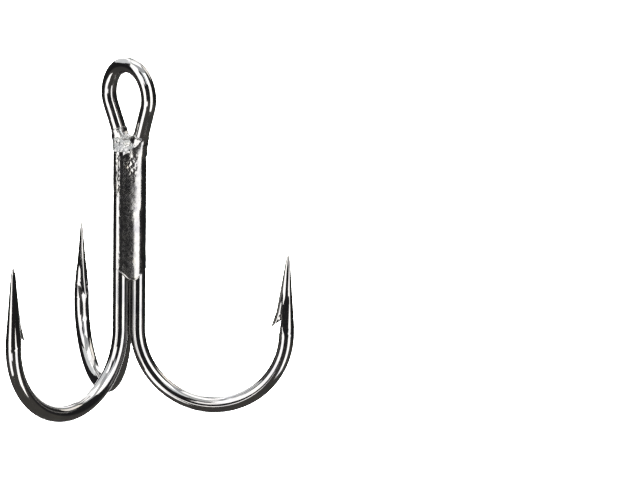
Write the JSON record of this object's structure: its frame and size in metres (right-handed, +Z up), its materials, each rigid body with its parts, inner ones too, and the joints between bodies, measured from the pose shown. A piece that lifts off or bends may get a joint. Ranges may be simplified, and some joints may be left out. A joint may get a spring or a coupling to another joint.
{
  "type": "treble hook",
  "caption": "Treble fishing hook with a wire eye, a brazed shank and round bends with barbed points, to hang from a lure's split ring.",
  "frame": {"origin": "centre of the eye", "axes": "+Z up the shank to the eye, the single hook points along -Y, the eye is looked through along Y"},
  "size_m": [0.0416, 0.0364, 0.0498],
  "materials": {
    "plated_wire": "black nickel plate, mirror polished",
    "plated_braze": "black nickel plate over braze, pitted and rippled"
  },
  "bodies": {
    "root": {"double_hook_wire": "plated_wire", "single_hook_wire": "plated_wire", "braze_core": "plated_braze", "braze_seam_right": "plated_braze", "braze_seam_left": "plated_braze", "braze_seam_back": "plated_braze", "braze_eye_web": "plated_braze", "braze_shank_cap": "plated_braze"}
  },
  "joints": []
}
